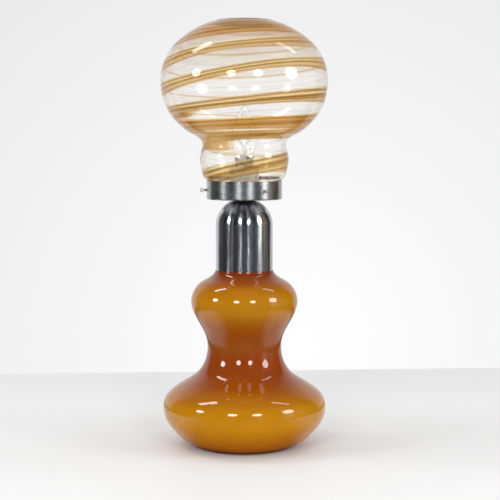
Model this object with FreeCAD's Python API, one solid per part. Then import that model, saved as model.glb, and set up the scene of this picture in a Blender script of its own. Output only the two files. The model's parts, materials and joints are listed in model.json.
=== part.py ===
import FreeCAD, Part
import math
import os
from FreeCAD import Vector

# Glass globe desk lamp.
# Millimetres, +Z up. The origin is on the table, under the lamp's upright axis.
# -Y is the side that faces the viewer, so the flex leaves at +Y.

# Clearances shared by all the fits
running_gap = 0.3
hole_gap = 0.15
turn_gap = 0.05
cut_overrun = 5.0

# Felt and steel disc under the foot
felt_thickness = 1.0
felt_margin = 1.5
plate_inset_from_foot = 7.8
plate_thickness = 1.2
recess_mouth_radius = 24.0
recess_roof_radius = 17.0
recess_depth = 8.8
centring_ring_height = 3.0
centring_ring_width = 5.0

# Hollow threaded rod that ties the lamp together, with its nuts and washers
rod_radius = 5.0
rod_bore_radius = 3.8
rod_spare_end = 1.5
rod_into_holder = 5.0
wire_slot_height = 18.0
wire_slot_width = 6.0
wire_slot_above_foot = 24.0
nut_across_flats = 14.0
nut_height = 4.0
washer_radius = 9.5
washer_thickness = 1.0

# Blown base glass
base_radius = 111.4
base_glass_height = 238.8
base_wall = 4.5
foot_radius_share = 0.631
foot_land_width = 13.3
shoulder_lip = 0.6
neck_radius = 35.0
neck_wall = 4.0
neck_height = 21.0

# Stations of the base glass from foot to shoulder:
# (share of the base radius, share of the height up to the shoulder)
base_outline_shares = (
    (0.744, 0.026),
    (0.863, 0.077),
    (0.968, 0.144),
    (1.000, 0.217),
    (0.968, 0.271),
    (0.875, 0.317),
    (0.707, 0.368),
    (0.570, 0.414),
    (0.487, 0.477),
    (0.454, 0.548),
    (0.479, 0.627),
    (0.577, 0.715),
    (0.654, 0.820),
    (0.618, 0.885),
    (0.531, 0.931),
    (0.407, 0.966),
)
bush_height_share = 0.077
# The blown glass is split at its lower bulge, its waist and its upper bulge
base_seam_shares = (0.217, 0.548, 0.820)

# Rubber bush that guides the flex through the back of the base glass
bush_bore_radius = 3.5
bush_wall = 2.0
bush_flange_width = 2.6
bush_flange_thickness = 2.0
bush_inner_collar_thickness = 1.6
bush_seat_gap = 0.6

# Disc, gasket and nut that close the neck
gasket_thickness = 2.0
neck_plate_thickness = 2.0

# Spun chrome cap over the neck
cap_radius = 38.9
cap_wall = 1.0
cap_straight_height = 62.3
cap_dome_height = 35.85
cap_flat_radius = 14.8

# Gallery cup that holds the shade
spacer_radius = 12.0
spacer_thickness = 1.0
gallery_radius = 51.35
gallery_height = 25.5
gallery_wall = 1.2
gallery_corner_radius = 2.0
gallery_rim_rounding = 0.4
seat_ring_thickness = 2.4
seat_ring_overlap = 2.0

# Shade glass
shade_radius = 113.2
shade_body_height = 220.6
shade_wall = 2.8
shade_neck_radius = 46.0
shade_flare_drop = 3.5
shade_flare_bulge = 1.5
shade_flare_dip = 0.6
shade_flare_lift = 1.0
shade_flare_reach = 0.45

# Stations of the shade from the flare to the crown:
# (share of the shade radius, share of the height above the start of the flare)
shade_outline_shares = (
    (0.488, 0.037),
    (0.518, 0.089),
    (0.534, 0.150),
    (0.517, 0.198),
    (0.498, 0.241),
    (0.540, 0.277),
    (0.641, 0.304),
    (0.751, 0.345),
    (0.870, 0.411),
    (0.961, 0.501),
    (1.000, 0.619),
    (0.966, 0.733),
    (0.855, 0.833),
    (0.693, 0.907),
    (0.515, 0.960),
    (0.336, 0.992),
)
shade_waist_share = 0.241

# Thumb screws round the gallery
screw_azimuths = {"left": 183.0, "front": 303.0, "back": 63.0}
screw_height = 12.6
screw_radius = 1.5
screw_collar_radius = 2.2
screw_collar_length = 3.4
screw_end_radius = 1.0
screw_nut_across_flats = 5.5
screw_nut_thickness = 2.2
eye_outer_radius = 2.7
eye_wire_radius = 0.6
eye_stem_radius = 0.8

# Lampholder
holder_radius = 20.5
holder_wall = 1.6
holder_cap_height = 15.0
holder_cap_shoulder = 7.0
holder_collar_radius = 11.0
holder_floor_thickness = 2.5
holder_sleeve_height = 23.4
core_thickness = 9.0
core_hub_radius = 11.5
core_hub_height = 1.5
shell_wall = 0.5
shell_height = 15.0
shell_flange_width = 3.0
leaf_thickness = 0.5
leaf_width = 5.0
leaf_half_length = 7.5
leaf_tip_length = 2.5
terminal_length = 6.0
terminal_width = 5.0
terminal_height = 5.0
terminal_offset = 10.0
terminal_screw_radius = 1.4
terminal_head_radius = 2.1
terminal_head_thickness = 1.4

# Candle bulb with its screw cap
bulb_cap_height = 27.0
bulb_thread_radius = 13.2
bulb_thread_depth = 1.0
bulb_thread_pitch = 3.62
bulb_thread_turns = 4
bulb_cap_wall = 0.6
bulb_cap_base_height = 1.8
bulb_insulator_height = 2.4
bulb_contact_radius = 4.6
bulb_contact_height = 1.0
bulb_radius = 17.5
bulb_glass_height = 72.5
bulb_glass_wall = 0.8
bulb_neck_depth = 9.0
bulb_cap_in_holder = 12.0

# Stations of the bulb from its neck to its tip:
# (share of the bulb radius, share of the height above the cap)
bulb_outline_shares = (
    (0.780, 0.060),
    (0.925, 0.135),
    (1.000, 0.255),
    (0.960, 0.385),
    (0.830, 0.540),
    (0.610, 0.700),
    (0.370, 0.840),
    (0.170, 0.940),
)
stem_foot_radius = 3.6
stem_tip_radius = 2.2
stem_height = 24.0
stem_disc_thickness = 1.2
lead_radius = 0.3
lead_spread = 6.5
lead_rise = 15.0
filament_radius = 0.2
filament_zigzags = 6
filament_depth = 2.0

# Levels worked out from the sizes above
axis_up = Vector(0, 0, 1)
plate_top = felt_thickness + plate_thickness
glass_foot = plate_top
foot_radius = base_radius * foot_radius_share
foot_opening_radius = foot_radius - foot_land_width
plate_radius = foot_radius - plate_inset_from_foot
recess_roof = felt_thickness + recess_depth
bottom_washer_low = recess_roof - washer_thickness
bottom_nut_low = bottom_washer_low - nut_height
rod_low = bottom_nut_low - rod_spare_end
shoulder_level = glass_foot + base_glass_height
neck_top = shoulder_level + neck_height
neck_plate_low = neck_top + gasket_thickness
neck_washer_low = neck_plate_low + neck_plate_thickness
neck_nut_low = neck_washer_low + washer_thickness
dome_level = shoulder_level + cap_straight_height
dome_flat_sine = math.sqrt(1 - (cap_flat_radius / cap_radius) ** 2)
cap_top = dome_level + cap_dome_height * dome_flat_sine
gallery_low = cap_top + spacer_thickness
gallery_floor = gallery_low + gallery_wall
gallery_rim = gallery_low + gallery_height
gallery_nut_top = gallery_floor + nut_height
seat_top = gallery_floor + seat_ring_thickness
shade_low = seat_top + running_gap
flare_level = gallery_rim - shade_flare_drop
shade_waist = flare_level + shade_waist_share * shade_body_height
shade_top = flare_level + shade_body_height
screw_level = gallery_low + screw_height
holder_low = gallery_nut_top
holder_joint = holder_low + holder_cap_height
holder_rim = holder_joint + holder_sleeve_height
rod_high = holder_low + rod_into_holder
bulb_low = holder_rim - bulb_cap_in_holder
cap_base_low = bulb_low + bulb_contact_height + bulb_insulator_height
bulb_shoulder = bulb_low + bulb_cap_height
core_top = bulb_low - leaf_thickness - terminal_height
core_low = core_top - core_thickness


def at(radius, height):
    """A point of a half section, with the radius along +X."""
    return Vector(radius, 0, height)


def line(first, last):
    return Part.LineSegment(first, last).toShape()


def arc(first, middle, last):
    return Part.Arc(first, middle, last).toShape()


def curve(stations, lead_in=(), lead_out=()):
    """A smooth line through the stations.
    The points before and after them set its direction at the ends, and are then cut off."""
    spline = Part.BSplineCurve()
    spline.interpolate(Points=[*lead_in, *stations, *lead_out])
    return spline.toShape(spline.parameter(stations[0]), spline.parameter(stations[-1]))


def below(stations):
    """Mirror images under the first station's level, so that a line starts upright."""
    level = stations[0].z
    return [at(station.x, 2 * level - station.z) for station in reversed(stations[1:3])]


def above(stations):
    """Mirror images over the last station's level, so that a line ends upright."""
    level = stations[-1].z
    return [at(station.x, 2 * level - station.z) for station in reversed(stations[-3:-1])]


def across(stations):
    """Mirror images past the axis, so that a line is level where it meets the axis."""
    return [at(-station.x, station.z) for station in reversed(stations[-3:-1])]


def lines(points):
    return [line(first, last) for first, last in zip(points, points[1:])]


def turned(edges):
    """The solid that a closed half section sweeps round the lamp's axis."""
    face = Part.Face(Part.Wire(Part.__sortEdges__(edges)))
    return face.revolve(Vector(0, 0, 0), axis_up, 360)


def turned_polygon(corners):
    points = [at(radius, height) for radius, height in corners]
    return turned(lines(points + points[:1]))


def cylinder(radius, low, high):
    return Part.makeCylinder(radius, high - low, Vector(0, 0, low))


def ring(inner, outer, low, high):
    return cylinder(outer, low, high).cut(cylinder(inner, low - cut_overrun, high + cut_overrun))


def hexagon(across_flats, low, high):
    corner = across_flats / math.sqrt(3)
    points = []
    for step in range(7):
        angle = math.radians(60 * step)
        points.append(Vector(corner * math.cos(angle), corner * math.sin(angle), low))
    return Part.Face(Part.makePolygon(points)).extrude(Vector(0, 0, high - low))


def hexagon_nut(across_flats, hole, low, high):
    return hexagon(across_flats, low, high).cut(cylinder(hole, low - cut_overrun, high + cut_overrun))


def rod_washer(low):
    return ring(rod_radius + hole_gap, washer_radius, low, low + washer_thickness)


def rod_nut(low):
    return hexagon_nut(nut_across_flats, rod_radius + hole_gap, low, low + nut_height)


def inset(stations, wall):
    """The stations between the ends, moved inwards by the wall, square to the outline."""
    moved = []
    for before, here, after in zip(stations, stations[1:], stations[2:]):
        run = after.sub(before)
        inwards = Vector(-run.z, 0, run.x).multiply(wall / run.Length)
        moved.append(here.add(inwards))
    return moved


def spread(shares, radius, low, height):
    return [at(across * radius, low + up * height) for across, up in shares]


def outwards(shape, azimuth, level):
    """Stands a shape that was made round +Z on the gallery's side, pointing outwards."""
    shape = shape.copy()
    shape.rotate(Vector(0, 0, 0), Vector(0, 1, 0), 90)
    shape.translate(Vector(0, 0, level))
    shape.rotate(Vector(0, 0, 0), axis_up, azimuth)
    return shape


def wire_rod(points, radius):
    """A round wire through the points, with a ball at each bend."""
    pieces = []
    for first, last in zip(points, points[1:]):
        run = last.sub(first)
        pieces.append(Part.makeCylinder(radius, run.Length, first, run))
    for bend in points[1:-1]:
        pieces.append(Part.makeSphere(radius, bend))
    return pieces[0].fuse(pieces[1:])


def base_stations():
    middle = spread(base_outline_shares, base_radius, glass_foot, base_glass_height)
    return [at(foot_radius, glass_foot)] + middle + [at(cap_radius + shoulder_lip, shoulder_level)]


# Foot


def make_felt_pad():
    return ring(recess_mouth_radius + felt_margin, plate_radius - felt_margin, 0, felt_thickness)


def make_bottom_plate():
    low = felt_thickness
    return turned_polygon(
        (
            (rod_radius + hole_gap, recess_roof),
            (recess_roof_radius, recess_roof),
            (recess_mouth_radius, low),
            (plate_radius, low),
            (plate_radius, plate_top),
            (recess_mouth_radius + plate_thickness, plate_top),
            (recess_roof_radius + plate_thickness, recess_roof + plate_thickness),
            (rod_radius + hole_gap, recess_roof + plate_thickness),
        )
    )


def make_centring_ring():
    outer = foot_opening_radius - hole_gap
    return ring(outer - centring_ring_width, outer, plate_top, plate_top + centring_ring_height)


def make_threaded_rod():
    tube = ring(rod_bore_radius, rod_radius, rod_low, rod_high)
    slot = Part.makeBox(wire_slot_width, rod_radius + cut_overrun, wire_slot_height)
    slot.translate(Vector(-wire_slot_width / 2, 0, glass_foot + wire_slot_above_foot))
    return tube.cut(slot)


# Base glass and the bush in its back


def make_base_body():
    outer = base_stations()
    neck_inner = neck_radius - neck_wall
    inner_foot = at(foot_radius, glass_foot + base_wall)
    inner_neck = at(neck_inner, shoulder_level - base_wall)
    inner = [inner_foot] + inset(outer, base_wall) + [inner_neck]
    edges = [curve(outer, lead_out=above(outer))]
    edges += lines(
        [
            outer[-1],
            at(neck_radius, shoulder_level),
            at(neck_radius, neck_top),
            at(neck_inner, neck_top),
            inner_neck,
        ]
    )
    edges.append(curve(inner, lead_out=above(inner)))
    edges += lines(
        [
            inner_foot,
            at(foot_opening_radius, glass_foot + base_wall),
            at(foot_opening_radius, glass_foot),
            outer[0],
        ]
    )
    return turned(edges)


def bush_frame():
    """The outer end of the bush's hole and the way out of it, at the back of the glass."""
    height_shares = [up for across, up in base_outline_shares]
    first = height_shares.index(bush_height_share)
    before, here, after = base_stations()[first : first + 3]
    run = after.sub(before)
    way_out = Vector(0, run.z, -run.x).multiply(1 / run.Length)
    return Vector(0, here.x, here.z), way_out


def bush_cylinder(radius, start, end):
    """A cylinder on the bush's axis, between two distances out from the glass."""
    face, way_out = bush_frame()
    foot = face.add(Vector(way_out).multiply(start))
    return Part.makeCylinder(radius, end - start, foot, way_out)


def base_glass_between(low, high):
    return make_base_body().common(cylinder(base_radius + cut_overrun, low, high))


def base_seams():
    """The levels of the lower bulge, the waist and the upper bulge."""
    return [glass_foot + share * base_glass_height for share in base_seam_shares]


def make_base_glass_bowl():
    hole_radius = bush_bore_radius + bush_wall + hole_gap
    hole = bush_cylinder(hole_radius, -base_wall - cut_overrun, cut_overrun)
    return base_glass_between(0, base_seams()[0]).cut(hole)


def make_base_glass_bulge():
    bulge, waist, upper_bulge = base_seams()
    return base_glass_between(bulge, waist)


def make_base_glass_waist():
    bulge, waist, upper_bulge = base_seams()
    return base_glass_between(waist, upper_bulge)


def make_base_glass_shoulder():
    return base_glass_between(base_seams()[-1], neck_top)


def make_cord_bush():
    body_radius = bush_bore_radius + bush_wall
    flange_radius = body_radius + bush_flange_width
    collar_start = -base_wall - bush_seat_gap - bush_inner_collar_thickness
    bush = bush_cylinder(body_radius, collar_start, bush_flange_thickness)
    bush = bush.fuse(bush_cylinder(flange_radius, running_gap, bush_flange_thickness))
    bush = bush.fuse(bush_cylinder(flange_radius, collar_start, -base_wall - bush_seat_gap))
    bore = bush_cylinder(bush_bore_radius, collar_start - cut_overrun, bush_flange_thickness + cut_overrun)
    return bush.cut(bore).removeSplitter()


# Neck and chrome cap


def make_neck_gasket():
    return ring(neck_radius - neck_wall, neck_radius, neck_top, neck_plate_low)


def make_neck_plate():
    outer = cap_radius - cap_wall - running_gap
    return ring(rod_radius + hole_gap, outer, neck_plate_low, neck_washer_low)


def dome_edge(shrink):
    """Quarter oval of the cap, from its upright wall to the edge of its flat top."""
    across = cap_radius - shrink
    up = cap_dome_height - shrink
    centre = at(0, dome_level)
    flat_sine = (cap_top - shrink - dome_level) / up
    if across >= up:
        oval = Part.Ellipse(at(across, dome_level), at(0, dome_level + up), centre)
        end = math.asin(flat_sine)
        return Part.ArcOfEllipse(oval, 0, end).toShape()
    oval = Part.Ellipse(at(0, dome_level + up), at(-across, dome_level), centre)
    return Part.ArcOfEllipse(oval, math.asin(flat_sine) - math.pi / 2, -math.pi / 2).toShape()


def make_chrome_cap():
    outer_dome = dome_edge(0)
    inner_dome = dome_edge(cap_wall)
    hole = rod_radius + hole_gap
    inner_top = max(inner_dome.Vertexes, key=lambda corner: corner.Z).Point
    outer_top = max(outer_dome.Vertexes, key=lambda corner: corner.Z).Point
    edges = [outer_dome, inner_dome]
    edges += lines([outer_top, at(hole, cap_top), at(hole, cap_top - cap_wall), inner_top])
    edges += lines(
        [
            at(cap_radius, dome_level),
            at(cap_radius, shoulder_level),
            at(cap_radius - cap_wall, shoulder_level),
            at(cap_radius - cap_wall, dome_level),
        ]
    )
    return turned(edges)


# Gallery and its seat


def make_gallery_spacer():
    return ring(rod_radius + hole_gap, spacer_radius, cap_top, gallery_low)


def screw_hole(azimuth):
    hole = cylinder(screw_radius + hole_gap, shade_neck_radius, gallery_radius + cut_overrun)
    return outwards(hole, azimuth, screw_level)


def make_gallery():
    bend = gallery_corner_radius
    inner_bend = max(bend - gallery_wall, turn_gap)
    inner = gallery_radius - gallery_wall
    diagonal = math.sqrt(0.5)
    corner = at(gallery_radius - bend, gallery_low + bend)
    inner_corner = at(inner - inner_bend, gallery_floor + inner_bend)
    middle = corner.add(Vector(bend * diagonal, 0, -bend * diagonal))
    inner_middle = inner_corner.add(Vector(inner_bend * diagonal, 0, -inner_bend * diagonal))
    hole = rod_radius + hole_gap
    edges = [arc(at(corner.x, gallery_low), middle, at(gallery_radius, corner.z))]
    edges += lines([at(gallery_radius, corner.z), at(gallery_radius, gallery_rim), at(inner, gallery_rim)])
    edges.append(line(at(inner, gallery_rim), at(inner, inner_corner.z)))
    edges.append(arc(at(inner, inner_corner.z), inner_middle, at(inner_corner.x, gallery_floor)))
    edges += lines(
        [
            at(inner_corner.x, gallery_floor),
            at(hole, gallery_floor),
            at(hole, gallery_low),
            at(corner.x, gallery_low),
        ]
    )
    cup = turned(edges)
    rim = [edge for edge in cup.Edges if edge.BoundBox.ZMin > gallery_rim - hole_gap]
    cup = cup.makeFillet(gallery_rim_rounding, rim)
    return cup.cut([screw_hole(azimuth) for azimuth in screw_azimuths.values()])


def make_screw_nuts():
    half_width = screw_nut_across_flats / math.sqrt(3)
    seat = math.sqrt((gallery_radius - gallery_wall) ** 2 - half_width**2)
    nut = hexagon_nut(screw_nut_across_flats, screw_radius + hole_gap, seat - screw_nut_thickness, seat)
    return Part.Compound([outwards(nut, azimuth, screw_level) for azimuth in screw_azimuths.values()])


def make_shade_seat_ring():
    inner = shade_neck_radius - shade_wall - seat_ring_overlap
    return ring(inner, shade_neck_radius + hole_gap, gallery_floor, seat_top)


# Shade


def make_shade_body():
    flare = [
        at(shade_neck_radius, flare_level),
        at(shade_neck_radius + shade_flare_bulge, gallery_rim - shade_flare_dip),
        at(gallery_radius + shade_flare_reach, gallery_rim + shade_flare_lift),
    ]
    outer = flare + spread(shade_outline_shares, shade_radius, flare_level, shade_body_height)
    outer.append(at(0, shade_top))
    neck_inner = shade_neck_radius - shade_wall
    inner = [at(neck_inner, flare_level)] + inset(outer, shade_wall)[1:] + [at(0, shade_top - shade_wall)]
    edges = [curve(side, below(side), across(side)) for side in (outer, inner)]
    edges.append(line(outer[-1], inner[-1]))
    edges += lines([inner[0], at(neck_inner, shade_low), at(shade_neck_radius, shade_low), outer[0]])
    return turned(edges)


def shade_between(low, high):
    return make_shade_body().common(cylinder(shade_radius + cut_overrun, low, high))


# Thumb screws, each a shank that slides and an eye that turns


def make_shade_screw(azimuth):
    tip = shade_neck_radius + running_gap
    collar = gallery_radius + running_gap
    shank = cylinder(screw_radius, tip, collar)
    cone = Part.makeCone(screw_collar_radius, screw_end_radius, screw_collar_length, Vector(0, 0, collar))
    return outwards(shank.fuse(cone), azimuth, screw_level)


def make_screw_eye(azimuth):
    start = gallery_radius + running_gap + screw_collar_length + turn_gap
    mean_radius = eye_outer_radius - eye_wire_radius
    centre = start + eye_outer_radius
    eye = Part.makeTorus(mean_radius, eye_wire_radius, Vector(0, 0, centre), Vector(0, 1, 0))
    stem = cylinder(eye_stem_radius, start, start + 2 * eye_wire_radius)
    return outwards(stem.fuse(eye), azimuth, screw_level)


# Lampholder


def make_lampholder_cap():
    hole = rod_radius + hole_gap
    shoulder = holder_low + holder_cap_shoulder
    inner = holder_radius - holder_wall
    return turned_polygon(
        (
            (hole, holder_low),
            (holder_collar_radius, holder_low),
            (holder_radius, shoulder),
            (holder_radius, holder_joint),
            (inner, holder_joint),
            (inner, shoulder + holder_wall / 2),
            (holder_collar_radius, holder_low + holder_floor_thickness),
            (hole, holder_low + holder_floor_thickness),
        )
    )


def make_lampholder_sleeve():
    sleeve = ring(holder_radius - holder_wall, holder_radius, holder_joint, holder_rim)
    rim = [edge for edge in sleeve.Edges if edge.BoundBox.ZMin > holder_rim - hole_gap]
    return sleeve.makeFillet(holder_wall / 4, rim)


def make_lampholder_core():
    disc = cylinder(holder_radius - holder_wall - hole_gap, core_low, core_top)
    return disc.fuse(cylinder(core_hub_radius, core_low - core_hub_height, core_low))


def shell_radius():
    return bulb_thread_radius + running_gap


def make_lampholder_screw_shell():
    outer = shell_radius() + shell_wall
    shell = ring(shell_radius(), outer, core_top, core_top + shell_height)
    return shell.fuse(ring(outer - shell_flange_width, outer, core_top, core_top + shell_wall))


def make_lampholder_contact():
    top = bulb_low - core_top
    end = leaf_half_length
    inner = end - leaf_thickness
    section = (
        (-end, 0),
        (end, 0),
        (end, top),
        (-leaf_tip_length, top),
        (-leaf_tip_length, top - leaf_thickness),
        (inner, top - leaf_thickness),
        (inner, leaf_thickness),
        (-end, leaf_thickness),
    )
    points = [Vector(across, -leaf_width / 2, core_top + up) for across, up in section]
    face = Part.Face(Part.makePolygon(points + points[:1]))
    return face.extrude(Vector(0, leaf_width, 0))


def terminal_pair(piece):
    """The piece and its twin, half a turn round the axis."""
    twin = piece.copy()
    twin.rotate(Vector(0, 0, 0), axis_up, 180)
    return Part.Compound([piece, twin])


def make_lampholder_terminals():
    low = core_low - core_hub_height - terminal_height
    block = Part.makeBox(terminal_length, terminal_width, terminal_height)
    block.translate(Vector(terminal_offset - terminal_length / 2, -terminal_width / 2, low))
    screw_centre = Vector(terminal_offset, -terminal_width / 2 - cut_overrun, low + terminal_height / 2)
    hole_length = terminal_width + 2 * cut_overrun
    hole = Part.makeCylinder(terminal_screw_radius, hole_length, screw_centre, Vector(0, 1, 0))
    return terminal_pair(block.cut(hole))


def make_terminal_screws():
    level = core_low - core_hub_height - terminal_height / 2
    front = Vector(terminal_offset, -terminal_width / 2, level)
    shank = Part.makeCylinder(terminal_screw_radius, terminal_width, front, Vector(0, 1, 0))
    head = Part.makeCylinder(terminal_head_radius, terminal_head_thickness, front, Vector(0, -1, 0))
    return terminal_pair(shank.fuse(head))


# Bulb


def make_bulb_tip_contact():
    return Part.makeCone(
        bulb_contact_radius / 2,
        bulb_contact_radius,
        bulb_contact_height,
        Vector(0, 0, bulb_low),
    )


def make_bulb_insulator():
    low = bulb_low + bulb_contact_height
    top_radius = bulb_thread_radius - bulb_thread_depth - bulb_cap_wall
    return Part.makeCone(bulb_contact_radius, top_radius, bulb_insulator_height, Vector(0, 0, low))


def make_bulb_cap():
    root = bulb_thread_radius - bulb_thread_depth
    middle = bulb_thread_radius - bulb_thread_depth / 2
    inner = root - bulb_cap_wall
    quarter = bulb_thread_pitch / 4
    level = cap_base_low + bulb_cap_base_height
    edges = lines([at(inner, cap_base_low), at(root, cap_base_low), at(middle, level)])
    for turn in range(bulb_thread_turns):
        crest = level + quarter
        half = crest + quarter
        trough = half + quarter
        end = trough + quarter
        edges.append(arc(at(middle, level), at(bulb_thread_radius, crest), at(middle, half)))
        edges.append(arc(at(middle, half), at(root, trough), at(middle, end)))
        level = end
    edges += lines(
        [
            at(middle, level),
            at(bulb_thread_radius, level + quarter),
            at(bulb_thread_radius, bulb_shoulder),
            at(inner, bulb_shoulder),
            at(inner, cap_base_low),
        ]
    )
    return turned(edges)


def make_bulb_glass():
    neck = bulb_thread_radius - bulb_thread_depth - bulb_cap_wall - hole_gap
    low = bulb_shoulder - bulb_neck_depth
    tip = bulb_shoulder + bulb_glass_height
    outer = [at(neck, bulb_shoulder)]
    outer += spread(bulb_outline_shares, bulb_radius, bulb_shoulder, bulb_glass_height)
    outer.append(at(0, tip))
    neck_inner = neck - bulb_glass_wall
    inner = [at(neck_inner, bulb_shoulder)] + inset(outer, bulb_glass_wall)
    inner.append(at(0, tip - bulb_glass_wall))
    edges = [curve(side, below(side), across(side)) for side in (outer, inner)]
    edges.append(line(outer[-1], inner[-1]))
    edges += lines([inner[0], at(neck_inner, low), at(neck, low), outer[0]])
    return turned(edges)


def stem_low():
    return bulb_shoulder - bulb_neck_depth


def make_bulb_stem():
    neck = bulb_thread_radius - bulb_thread_depth - bulb_cap_wall - hole_gap - bulb_glass_wall
    low = stem_low()
    disc_top = low + stem_disc_thickness
    return turned_polygon(
        (
            (0, low),
            (neck - hole_gap, low),
            (neck - hole_gap, disc_top),
            (stem_foot_radius, disc_top + stem_foot_radius),
            (stem_tip_radius, low + stem_height),
            (0, low + stem_height),
        )
    )


def make_bulb_filament():
    stem_top = stem_low() + stem_height
    top = stem_top + lead_rise
    start = stem_tip_radius - lead_radius
    pieces = []
    for side in (-1, 1):
        foot = Vector(side * start, 0, stem_top)
        neck = Vector(side * start, 0, stem_top + 3 * lead_radius)
        knee = Vector(side * lead_spread, 0, stem_top + lead_rise / 2)
        route = [foot, neck, knee, Vector(side * lead_spread, 0, top)]
        pieces.append(wire_rod(route, lead_radius))
    strand = []
    for step in range(filament_zigzags + 1):
        across = lead_spread * (2 * step / filament_zigzags - 1)
        depth = filament_depth * (step % 2)
        strand.append(Vector(across, 0, top - lead_radius - depth))
    pieces.append(wire_rod(strand, filament_radius))
    return pieces[0].fuse(pieces[1:])


makers = {
    "felt_pad": make_felt_pad,
    "bottom_plate": make_bottom_plate,
    "centring_ring": make_centring_ring,
    "bottom_washer": lambda: rod_washer(bottom_washer_low),
    "bottom_nut": lambda: rod_nut(bottom_nut_low),
    "threaded_rod": make_threaded_rod,
    "base_glass_bowl": make_base_glass_bowl,
    "base_glass_bulge": make_base_glass_bulge,
    "base_glass_waist": make_base_glass_waist,
    "base_glass_shoulder": make_base_glass_shoulder,
    "cord_bush": make_cord_bush,
    "neck_gasket": make_neck_gasket,
    "neck_plate": make_neck_plate,
    "neck_washer": lambda: rod_washer(neck_washer_low),
    "neck_nut": lambda: rod_nut(neck_nut_low),
    "chrome_cap": make_chrome_cap,
    "gallery_spacer": make_gallery_spacer,
    "gallery": make_gallery,
    "gallery_nut": lambda: rod_nut(gallery_floor),
    "screw_nuts": make_screw_nuts,
    "shade_seat_ring": make_shade_seat_ring,
    "shade_neck": lambda: shade_between(shade_low, flare_level),
    "shade_collar": lambda: shade_between(flare_level, shade_waist),
    "shade_globe": lambda: shade_between(shade_waist, shade_top),
    "lampholder_cap": make_lampholder_cap,
    "lampholder_sleeve": make_lampholder_sleeve,
    "lampholder_core": make_lampholder_core,
    "lampholder_screw_shell": make_lampholder_screw_shell,
    "lampholder_contact": make_lampholder_contact,
    "lampholder_terminals": make_lampholder_terminals,
    "terminal_screws": make_terminal_screws,
    "bulb_tip_contact": make_bulb_tip_contact,
    "bulb_insulator": make_bulb_insulator,
    "bulb_cap": make_bulb_cap,
    "bulb_glass": make_bulb_glass,
    "bulb_stem": make_bulb_stem,
    "bulb_filament": make_bulb_filament,
}
for side, azimuth in screw_azimuths.items():
    makers["shade_screw_" + side] = lambda azimuth=azimuth: make_shade_screw(azimuth)
    makers["screw_eye_" + side] = lambda azimuth=azimuth: make_screw_eye(azimuth)

os.makedirs("parts", exist_ok=True)
for name, make in makers.items():
    shape = make()
    shape.exportStep("parts/" + name + ".step")
    box = shape.BoundBox
    print(name, "solids", len(shape.Solids), "valid", shape.isValid(), "volume", round(shape.Volume, 1))
    print("   z", round(box.ZMin, 2), round(box.ZMax, 2), "reach", round(box.XMax, 2), round(box.YMax, 2))
bush_face, bush_way = bush_frame()
print("bush", [round(value, 3) for value in (*bush_face, *bush_way)])
print("height", round(shade_top, 2), "screw level", round(screw_level, 2), "holder rim", round(holder_rim, 2))
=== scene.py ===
# %% [markdown]
# # A glass globe lamp, finished in Blender
#
# The lamp's pieces were built to size somewhere else. This file gives them their looks: amber
# glass, brushed chrome, turned steel, porcelain, brass and a blown shade with an amber spiral.
# The pieces come in as a fixed frame. They aren't moved here, only finished or, where a smoother
# surface is wanted, replaced by a finer mesh of the same shape.

import json
import math

import bpy
import numpy as np
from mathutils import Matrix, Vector


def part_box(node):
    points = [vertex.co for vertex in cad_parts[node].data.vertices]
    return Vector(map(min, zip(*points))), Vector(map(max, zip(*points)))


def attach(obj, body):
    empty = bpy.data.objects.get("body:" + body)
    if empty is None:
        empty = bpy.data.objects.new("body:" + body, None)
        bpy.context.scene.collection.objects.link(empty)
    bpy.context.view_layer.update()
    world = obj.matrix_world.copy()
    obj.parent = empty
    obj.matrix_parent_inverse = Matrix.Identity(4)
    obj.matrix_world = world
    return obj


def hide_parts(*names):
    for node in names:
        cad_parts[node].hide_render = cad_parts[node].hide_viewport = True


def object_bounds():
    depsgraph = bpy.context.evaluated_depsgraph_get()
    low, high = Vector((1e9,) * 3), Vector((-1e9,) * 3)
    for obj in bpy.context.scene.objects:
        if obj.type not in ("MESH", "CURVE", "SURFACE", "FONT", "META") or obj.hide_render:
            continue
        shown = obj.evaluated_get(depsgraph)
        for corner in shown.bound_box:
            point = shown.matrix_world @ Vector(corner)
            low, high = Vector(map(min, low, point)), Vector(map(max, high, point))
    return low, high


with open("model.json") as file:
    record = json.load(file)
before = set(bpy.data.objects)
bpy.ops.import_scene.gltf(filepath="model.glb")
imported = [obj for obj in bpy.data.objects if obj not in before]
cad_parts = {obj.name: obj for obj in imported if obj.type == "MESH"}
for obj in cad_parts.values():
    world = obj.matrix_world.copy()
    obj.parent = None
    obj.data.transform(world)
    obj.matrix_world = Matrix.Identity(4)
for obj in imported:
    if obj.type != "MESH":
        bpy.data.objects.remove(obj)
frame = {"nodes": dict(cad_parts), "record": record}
cad_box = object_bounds()
nodes = frame["nodes"]
lamp_height = cad_box[1].z
print("nodes", len(nodes), "lamp height", round(lamp_height, 3))

# %% [markdown]
# ## Camera
#
# The picture was taken from nearly two metres away, with a long lens, a little below the globe.
# A camera could be placed by eye, but the rims of the lamp are circles, and how far each one opens
# gives its height against the camera. Those heights fix the eye level, and the lens follows from
# how large the lamp is in the picture.

# %% Place the camera
camera_distance = 1.85
eye_height = 0.4245
camera_tilt = math.radians(4.833)
camera_turn = math.radians(0.24)
lens_mm = 97.93
sensor_mm = 36

camera_data = bpy.data.cameras.new("camera")
camera_data.lens = lens_mm
camera_data.sensor_width = sensor_mm
camera = bpy.data.objects.new("camera", camera_data)
camera.location = (0, -camera_distance, eye_height)
camera.rotation_euler = (math.pi / 2 - camera_tilt, 0, -camera_turn)
bpy.context.scene.collection.objects.link(camera)
bpy.context.scene.camera = camera
bpy.context.scene.view_settings.view_transform = "Standard"
print("camera", [round(value, 3) for value in camera.location])

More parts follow.
